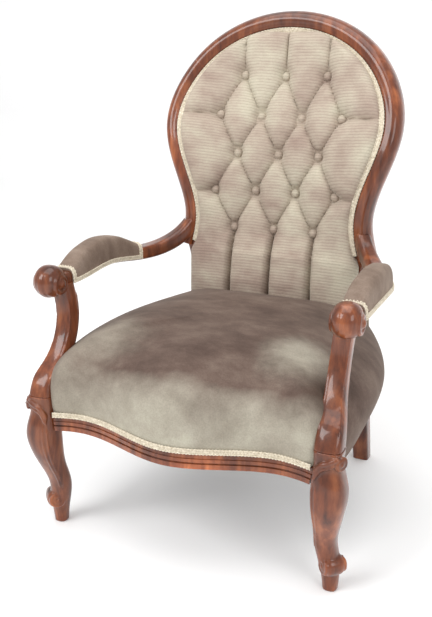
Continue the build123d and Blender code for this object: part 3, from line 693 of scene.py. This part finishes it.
def seat_cushion():
    """Domed seat, from the rails over a bulging side to the crown, a little sagged and uneven."""
    rail_foot, front_foot, rows = 0.238, 0.253, 84
    front_start, front_run, top_start, top_run = -0.235, 0.03, 0.33, 0.05
    lump_height, sag_depth, sag_x, sag_y, sag_spread = 0.0022, 0.004, 0.02, -0.02, 0.03
    outlines = [
        seat_outline(front_foot, sides=0, corners=0, shoulders=0, front=0, back=-0.010),
        seat_outline(0.276, sides=-0.016, corners=0, shoulders=0.002, front=-0.005, back=-0.010),
        seat_outline(0.313, sides=-0.023, corners=0.004, shoulders=0.014, front=-0.0085, back=-0.010),
        seat_outline(0.347, sides=-0.009, corners=0.012, shoulders=0.024, front=-0.003, back=0.002),
        seat_outline(0.380, sides=0.033, corners=0.038, shoulders=0.052, front=0.029, back=0.010),
        seat_outline(0.405, sides=0.090, corners=0.086, shoulders=0.100, front=0.086, back=0.040),
        seat_outline(0.4185, sides=0.155, corners=0.146, shoulders=0.160, front=0.150, back=0.092),
    ]
    at_front = limited((front_start - outlines[0][:, 1]) / front_run)
    outlines[0][:, 2] = rail_foot + (front_foot - rail_foot) * at_front
    crown = np.array([0, -0.020, seat_crown])
    for shrink in ((0.5, 0.5, 0.25), (0.06, 0.06, 0.0)):
        outlines.append(crown + (outlines[-1] - crown) * np.array(shrink))
    around = len(outlines[0])
    skin = NaturalSpline([row.reshape(-1) for row in outlines]).sample(0, 1, rows)
    skin = skin.reshape(rows, around, 3)
    x, y, z = skin[:, :, 0], skin[:, :, 1], skin[:, :, 2]
    uneven = lump_height * np.sin(17 * x + 1.3) * np.sin(15 * y + 0.4)
    sat_on = sag_depth * np.exp(-((x - sag_x) ** 2 + (y - sag_y) ** 2) / sag_spread)
    skin[:, :, 2] += (uneven - sat_on) * limited((z - top_start) / top_run)
    return ring_solid(skin)


seat = finish_piece(
    mesh_piece("seat_cushion", *seat_cushion()), "seat_velvet", ["seat_cover", "seat_stuffing"]
)


# Arm pads, each with a braid round its foot

arm_path = NaturalSpline(
    [
        (0.289, -0.225, 0.500),
        (0.286, -0.191, 0.498),
        (0.288, -0.034, 0.503),
        (0.272, 0.071, 0.491),
        (0.243, 0.139, 0.494),
        (0.204, 0.209, 0.520),
    ]
)
pad_rows, pad_columns, pad_foot = 60, 31, -0.0085
pad_start_share, pad_end_share = 0.098, 0.662
pad_line = arm_path.sample(pad_start_share, pad_end_share, pad_rows)
pad_along = tangents(pad_line)
pad_side = unit(np.cross(upward, pad_along))
pad_up = np.cross(pad_along, pad_side)
# Each station: share of the pad's length, half width and top
pad_stations = [
    (0, 0.0225, 0.016),
    (0.06, 0.0235, 0.026),
    (0.2, 0.0245, 0.041),
    (0.45, 0.0252, 0.0475),
    (0.72, 0.0242, 0.043),
    (0.92, 0.0225, 0.029),
    (1, 0.0215, 0.020),
]
pad_shares, pad_halves, pad_tops = zip(*pad_stations)
pad_half, pad_top = (
    moving_mean(np.interp(np.linspace(0, 1, pad_rows), pad_shares, values), 9)
    for values in (pad_halves, pad_tops)
)
arch = np.linspace(0, math.pi, pad_columns)
arch_side_power, arch_top_power = 0.5, 0.62
arch_x = signed_power(np.cos(arch), arch_side_power)
arch_y = np.abs(np.sin(arch)) ** arch_top_power


def pad_point(row, k, lift=0.0):
    """A point of the pad's arch, from one foot over the top to the other."""
    across = (pad_half[row] + lift) * arch_x[k]
    rise = pad_foot + (pad_top[row] + lift - pad_foot) * arch_y[k]
    return pad_line[row] + pad_side[row] * across + pad_up[row] * rise


def arm_cushion(mirror):
    skin = np.array([[pad_point(row, k) for k in range(pad_columns)] for row in range(pad_rows)])
    return ring_solid(skin * mirror)


def arm_gimp(mirror):
    """Braid along both feet of a pad and over its two ends."""
    lift, foot_rise, end_inset = 0.0012, 0.0035, 0.004
    size = {"width": 0.0085, "thickness": 0.003, "period": 0.006}
    ribbons = []
    for k in (0, pad_columns - 1):
        foot = [pad_point(row, k, lift) + foot_rise * pad_up[row] for row in range(pad_rows)]
        path = even_path(foot, 260)
        facing = np.sign(arch_x[k]) * unit(np.cross(upward, tangents(path)))
        outward = np.cross(tangents(path), facing)
        ribbons.append(gimp_braid(path * mirror, outward * mirror, facing * mirror, **size))
    for row, inset in ((0, end_inset), (pad_rows - 1, -end_inset)):
        along = pad_along[row]
        path = even_path([pad_point(row, k, lift) + inset * along for k in range(pad_columns)], 130)
        facing = np.cross(tangents(path), along)
        facing = facing * np.sign(np.sum(facing * (path - pad_line[row]), axis=1).mean())
        ribbons.append(gimp_braid(path * mirror, along * mirror, unit(facing) * mirror, **size))
    return in_one(ribbons)


for side, mirror in (("right", np.array([1, 1, 1])), ("left", np.array([-1, 1, 1]))):
    pad = mesh_piece("arm_cushion_" + side, *arm_cushion(mirror))
    finish_piece(pad, "back_velvet", ["arm_pad_" + side])
    # The lighter plush on each pad stands for light on its top: painted light
    pad.data.materials[0] = materials["lit_pad_velvet"]
    finish_piece(mesh_piece("arm_gimp_" + side, *arm_gimp(mirror)), "braid", ["arm_braid_" + side])


# Carved wood: solids that run into each other, under one smooth skin


def rod(path, radius, guide):
    """A bead along a path, with thinner ends. guide is never along the path."""
    sides, end_share, end_points = 10, 0.3, 12
    along = tangents(path)
    side = unit(np.cross(along, guide))[:, None]
    other = np.cross(side, along[:, None])
    from_end = np.minimum(np.linspace(0, end_points, len(path)), np.linspace(end_points, 0, len(path)))
    turns = np.linspace(0, 2 * math.pi, sides, endpoint=False)[None, :, None]
    thickness = radius * np.clip(from_end, end_share, 1)[:, None, None]
    return ring_solid(path[:, None] + thickness * (np.cos(turns) * side + np.sin(turns) * other))


def roll(centre, axis, half_width, radius, power):
    """A rounded roll about an axis, squarer with a higher power."""
    rows, sides, skew = 33, 40, (0.1, 0.2, 1.0)
    axis = unit(np.array(axis, float))
    first = unit(np.cross(axis, skew))
    second = np.cross(axis, first)
    places = np.cos(np.linspace(math.pi, 0, rows)[1:-1])[:, None, None]
    radii = radius * (1 - np.abs(places) ** power) ** (1 / power)
    turns = np.linspace(0, 2 * math.pi, sides, endpoint=False)[None, :, None]
    spokes = np.cos(turns) * first + np.sin(turns) * second
    return ring_solid(centre + places * half_width * axis + radii * spokes)


def spiral(centre, across, outer, inner, turns):
    """Points of an upright volute that starts above its centre and turns towards across."""
    count = 70
    angles = np.linspace(0, 2 * math.pi * turns, count)[:, None]
    radii = np.linspace(outer, inner, count)[:, None]
    return centre + radii * (np.cos(angles) * upward + np.sin(angles) * np.array(across))


def post_table(stations):
    """Height, centre, width, depth and squareness of a post, smoothed through its stations."""
    weights = np.array([1, 1, 1, 1, 1, 0.01])
    return NaturalSpline(np.array(stations) * weights).sample(0, 1, 90) / weights


def on_post(table, height, angle, lift=0.0):
    """Points on a post's skin, at heights and angles from its right side."""
    x, y, width, depth, power = (np.interp(height, table[:, 0], table[:, k]) for k in range(1, 6))
    across = (0.5 * width + lift) * signed_power(np.cos(angle), 2 / power)
    along = (0.5 * depth + lift) * signed_power(np.sin(angle), 2 / power)
    return np.stack([x + across, y + along, height + 0 * x], axis=-1)


def post(table):
    sides = 56
    angles = np.linspace(0, 2 * math.pi, sides, endpoint=False)
    return ring_solid(np.stack([on_post(table, np.full(sides, z), angles) for z in table[:, 0]]))


def post_bead(table, heights, degrees, lift, radius):
    """A bead up or down a post, at one angle."""
    angles = np.full(len(heights), math.radians(degrees))
    return rod(on_post(table, heights, angles, lift), radius, guide=(1, 0.2, 0))


def carved(name, solids, voxel, rounds):
    """One smooth skin over solids that run into each other."""
    piece = mesh_piece(name, *in_one(solids))
    remesh = piece.modifiers.new("remesh", "REMESH")
    remesh.mode = "VOXEL"
    remesh.voxel_size = voxel
    smooth = piece.modifiers.new("smooth", "SMOOTH")
    smooth.factor = 0.5
    smooth.iterations = rounds
    depsgraph = bpy.context.evaluated_depsgraph_get()
    rough = piece.data
    piece.data = bpy.data.meshes.new_from_object(piece.evaluated_get(depsgraph))
    piece.modifiers.clear()
    bpy.data.meshes.remove(rough)
    return piece


def pair(right, node_name):
    """The right piece and its mirror image on the left, in place of their nodes."""
    finish_piece(right, "mahogany", [node_name + "_right"])
    points = [(-v.co.x, v.co.y, v.co.z) for v in right.data.vertices]
    faces = [tuple(reversed(polygon.vertices)) for polygon in right.data.polygons]
    left = mesh_piece(right.name.replace("right", "left"), points, faces)
    finish_piece(left, "mahogany", [node_name + "_left"])


# Each station: height, x and y from the leg's axis, width, depth and squareness
leg_stations = [
    (0.0, 0.0, 0.038, 0.027, 0.027, 2.2),
    (0.016, 0.0, 0.038, 0.030, 0.030, 2.2),
    (0.036, -0.001, 0.037, 0.034, 0.034, 2.3),
    (0.062, -0.004, 0.035, 0.039, 0.039, 2.4),
    (0.094, -0.008, 0.029, 0.040, 0.040, 2.6),
    (0.138, -0.004, 0.014, 0.046, 0.046, 2.6),
    (0.180, 0.0, 0.003, 0.058, 0.060, 2.5),
    (0.212, 0.002, 0.0, 0.063, 0.064, 2.6),
    (0.240, 0.0, 0.001, 0.056, 0.058, 2.8),
    (0.264, -0.002, 0.003, 0.049, 0.051, 3.0),
    (leg_top, -0.001, 0.002, 0.050, 0.052, 3.4),
]
leg_table = post_table([(z, leg_x + x, leg_y + y, *rest) for z, x, y, *rest in leg_stations])
diagonal = np.array([1, -1, 0]) * math.sqrt(0.5)
toe_axis = np.array([1, 1, 0]) * math.sqrt(0.5)


def toe_scroll():
    """A roll at the foot, with a volute and an eye on both of its faces."""
    centre, face_out = np.array([leg_x + 0.0045, leg_y + 0.029, 0.055]), 0.0184
    solids = [roll(centre, toe_axis, half_width=0.0175, radius=0.0200, power=4.5)]
    for face in (centre - face_out * toe_axis, centre + face_out * toe_axis):
        volute = spiral(face, diagonal, outer=0.0160, inner=0.004, turns=1.8)
        solids.append(rod(volute, radius=0.0032, guide=toe_axis))
        solids.append(roll(face, toe_axis, half_width=0.0045, radius=0.0045, power=2.0))
    return solids


def knee_scroll():
    """Two beads that sweep up over the knee to a curl at its outer front."""
    start_height, rise, lift, count = 0.247, 0.038, 0.0022, 40
    first_degrees, last_degrees, early_rise = -128, -42, 0.85
    curl_height, curl_degrees, curl_lift = 0.2745, -30, 0.0035
    angles = np.radians(np.linspace(first_degrees, last_degrees, count))
    climb = rise * np.sin(0.5 * math.pi * np.linspace(0, 1, count) ** early_rise)
    solids = [
        rod(on_post(leg_table, start_height - drop + climb, angles, lift), radius, guide=diagonal)
        for drop, radius in ((0.0, 0.0044), (0.0086, 0.0034))
    ]
    curl = on_post(leg_table, np.array(curl_height), math.radians(curl_degrees), curl_lift)
    curl_out, curl_across = (0.87, -0.5, 0), (0.5, 0.87, 0)
    volute = spiral(curl, curl_across, outer=0.0122, inner=0.003, turns=1.5)
    solids.append(rod(volute, radius=0.0038, guide=curl_out))
    solids.append(roll(curl, curl_out, half_width=0.006, radius=0.0048, power=2.0))
    return solids


def front_leg():
    """Cabriole leg with its scrolls, and two beads down its inner front."""
    bead_top, bead_foot, bead_lift = 0.236, 0.082, 0.0003
    heights = np.linspace(bead_top, bead_foot, 50)
    beads = [
        post_bead(leg_table, heights, degrees, bead_lift, radius)
        for degrees, radius in ((-133, 0.0022), (-116, 0.0016))
    ]
    solids = [post(leg_table), *toe_scroll(), *knee_scroll(), *beads]
    return carved("carved_leg_right", solids, voxel=0.0016, rounds=3)


def arm_support():
    """Support that sweeps back from the leg to the arm, beaded along its corners."""
    rise, sweep, inset, slim, squareness = 0.206, 0.083, 0.011, 0.035, 3.3
    bead_foot, bead_top, bead_lift = leg_top + 0.02, 0.478, 0.0002
    # Shares of the rise, inset and sweep, then width and depth
    stations = [
        (0.0, 0.15, 0.03, 0.049, 0.050),
        (0.14, 0.25, 0.18, 1.32 * slim, 1.37 * slim),
        (0.28, 0.7, 0.52, 1.14 * slim, 1.3 * slim),
        (0.45, 1.0, 0.82, 1.04 * slim, 1.14 * slim),
        (0.67, 0.95, 0.99, 1.02 * slim, 1.02 * slim),
        (0.85, 0.6, 1.0, 1.03 * slim, 1.05 * slim),
        (0.97, 0.15, 0.98, 1.05 * slim, 1.15 * slim),
    ]
    table = post_table(
        [
            (leg_top + up * rise, leg_x - lean * inset, leg_y + back * sweep, *size, squareness)
            for up, lean, back, *size in stations
        ]
    )
    heights = np.linspace(bead_foot, bead_top, 60)
    corners = ((-135, 0.0015), (-45, 0.0015), (48, 0.0022), (132, 0.0022))
    beads = [post_bead(table, heights, degrees, bead_lift, radius) for degrees, radius in corners]
    return carved("carved_support_right", [post(table), *beads], voxel=0.0016, rounds=3)


def arm():
    """The arm's own solid with a fuller knuckle, and a volute and an eye on both of its faces."""
    knuckle = np.array([0.2885, -0.2235, 0.5005])
    face_out, eye_out, face_shift = 0.0232, 0.003, 0.0045 * (rearward - upward)
    ball = roll(knuckle, rightward, half_width=0.0255, radius=0.0312, power=2.6)
    solids = [joined_points("arm_right"), ball]
    for out in (-rightward, rightward):
        middle = knuckle + face_out * out + face_shift
        eye = middle + eye_out * out
        volute = spiral(middle, -rearward, outer=0.0215, inner=0.007, turns=1.5)
        solids.append(rod(volute, radius=0.0041, guide=rightward))
        solids.append(roll(eye, rightward, half_width=0.0050, radius=0.0078, power=2.2))
    return carved("carved_arm_right", solids, voxel=0.0018, rounds=5)


pair(front_leg(), "front_leg")
pair(arm_support(), "arm_support")
pair(arm(), "arm")


# Moulded hoop in four lengths, the lower two with the rear legs

# Outward from the hoop's inner edge, and forward from it
moulding_face = [
    (0.0, -0.003),
    (0.0015, 0.0006),
    (0.007, 0.002),
    (0.0138, 0.0032),
    (0.020, 0.0024),
    (0.026, -0.002),
    (0.0305, -0.0095),
    (0.033, -0.0185),
    (0.033, -0.031),
    (0.0307, -0.0405),
    (0.0248, -0.044),
]
moulding_rebate = [(-0.0155, -0.044), (-0.0155, -0.0075), (-0.0005, -0.0075)]
moulding = np.concatenate([NaturalSpline(moulding_face).sample(0, 1, 60), moulding_rebate])
shoulder_share, middle_share = 0.33, 0.5


def hoop_length(first, last):
    path = hoop.sample(first, last, 150)
    outward, facing = hoop_axes(path)
    across, ahead = moulding[None, :, 0, None], moulding[None, :, 1, None]
    return ring_solid(path[:, None] + across * outward[:, None] + ahead * facing[:, None])


# Each station: height, x, y, width, depth and squareness
rear_post = post_table(
    [
        (0.0, 0.206, 0.283, 0.036, 0.036, 5.0),
        (0.116, 0.203, 0.254, 0.041, 0.041, 5.0),
        (0.232, 0.200, 0.228, 0.046, 0.046, 5.0),
        (0.292, 0.198, 0.225, 0.046, 0.046, 5.0),
        (0.360, 0.185, 0.224, 0.042, 0.042, 4.5),
        (0.430, 0.179, 0.224, 0.038, 0.038, 4.5),
        (0.480, 0.188, 0.224, 0.036, 0.036, 4.5),
        (0.515, 0.199, 0.220, 0.034, 0.034, 4.5),
    ]
)
stile = in_one([post(rear_post), hoop_length(0.0, shoulder_share)])
pair(mesh_piece("carved_stile_right", *stile), "rear_stile")
pair(mesh_piece("carved_crest_right", *hoop_length(shoulder_share, middle_share)), "crest")


# Cloths and webbing, at the places of their solids

hoop_pieces = ["carved_stile_left", "carved_stile_right", "carved_crest_left", "carved_crest_right"]
seat_rails = ["front_seat_rail", "side_seat_rail_left", "side_seat_rail_right", "back_seat_rail"]
for name, slot_name, flat, area, rests_on in (
    ("outside_back_cover", "back_velvet", (0.50, 0.74), 0.292, hoop_pieces),
    ("bottom_cloth", "bottom_cotton", (0.58, 0.52), 0.243, seat_rails),
    ("seat_webbing", "jute", (0.050, 3.26), None, seat_rails),
    ("back_webbing", "jute", (0.050, 1.50), None, hoop_pieces),
    ("back_hessian", "jute", (0.44, 0.56), 0.186, hoop_pieces),
    ("spring_hessian", "jute", (0.58, 0.52), 0.262, ["seat_springs"]),
):
    cloth = mesh_piece(name + "_cloth", *joined_points(name))
    finish_piece(cloth, slot_name, [name])


# Finishes of the frame's own pieces

hidden_wood = ("side_seat_rail", "back_seat_rail", "lower_back_rail", "corner_blocks", "dowels")
for name, node in nodes.items():
    if node.hide_render:
        continue
    slot_name = "mahogany"
    if name == "corner_block_screws":
        slot_name = "screw_steel"
    elif name == "seat_springs":
        slot_name = "spring_steel"
    elif any(word in name for word in hidden_wood):
        slot_name = "beech"
    node.data.materials.clear()
    node.data.materials.append(materials[slot_name])


# Floor and backdrop, light and camera


def studio_sweep():
    """White paper that runs from the floor up into a backdrop."""
    half_width, sink = 7, 0.0005
    profile = [(-6, 0), (2.2, 0), (2.7, 0.1), (3.1, 0.5), (3.2, 1.2), (3.2, 5)]
    points = [(x, y, z - sink) for y, z in profile for x in (-half_width, half_width)]
    sheet = mesh_piece("floor", points, grid_faces(len(profile), 2))
    inputs = {"Base Color": (0.95, 0.95, 0.95, 1), "Roughness": 0.9, "Specular IOR Level": 0.0}
    sheet.data.materials.append(shader("studio_paper", inputs)[0])
    for polygon in sheet.data.polygons:
        polygon.use_smooth = True
    return sheet


def area_light(name, place, target, size, power):
    light = bpy.data.lights.new(name, "AREA")
    light.shape = "SQUARE"
    light.size = size
    light.energy = power
    lamp = bpy.data.objects.new(name, light)
    lamp.location = place
    x, y, z = np.array(target) - np.array(place)
    lamp.rotation_euler = (math.atan2(math.hypot(x, y), -z), 0, math.atan2(y, x) - math.pi / 2)
    scene.collection.objects.link(lamp)


def photo_camera():
    """The photograph's camera, solved from the chair's left and right pairs of points."""
    focal_pixels, picture_height_pixels, sensor = 850, 617, 36
    lens = bpy.data.cameras.new("camera")
    lens.sensor_fit = "AUTO"
    lens.sensor_width = sensor
    lens.lens = focal_pixels / picture_height_pixels * sensor
    camera = bpy.data.objects.new("camera", lens)
    camera.location = (0.628, -1.508, 0.932)
    camera.rotation_euler = (math.radians(72.56), 0, math.radians(24.03))
    scene.collection.objects.link(camera)
    return camera


studio_sweep()
area_light("key", place=(-1.6, -2.6, 2.6), target=(0, 0, 0.5), size=1.8, power=70)
area_light("fill", place=(2.6, -1.8, 1.8), target=(0, 0, 0.5), size=1.6, power=30)
area_light("top", place=(0, -0.2, 3.2), target=(0, 0, 0), size=2.5, power=45)
scene.world = bpy.data.worlds.new("studio")
scene.world.use_nodes = True
background = scene.world.node_tree.nodes["Background"]
background.inputs["Color"].default_value = (1, 1, 1, 1)
background.inputs["Strength"].default_value = 0.75
scene.camera = photo_camera()
scene.view_settings.view_transform = "Standard"
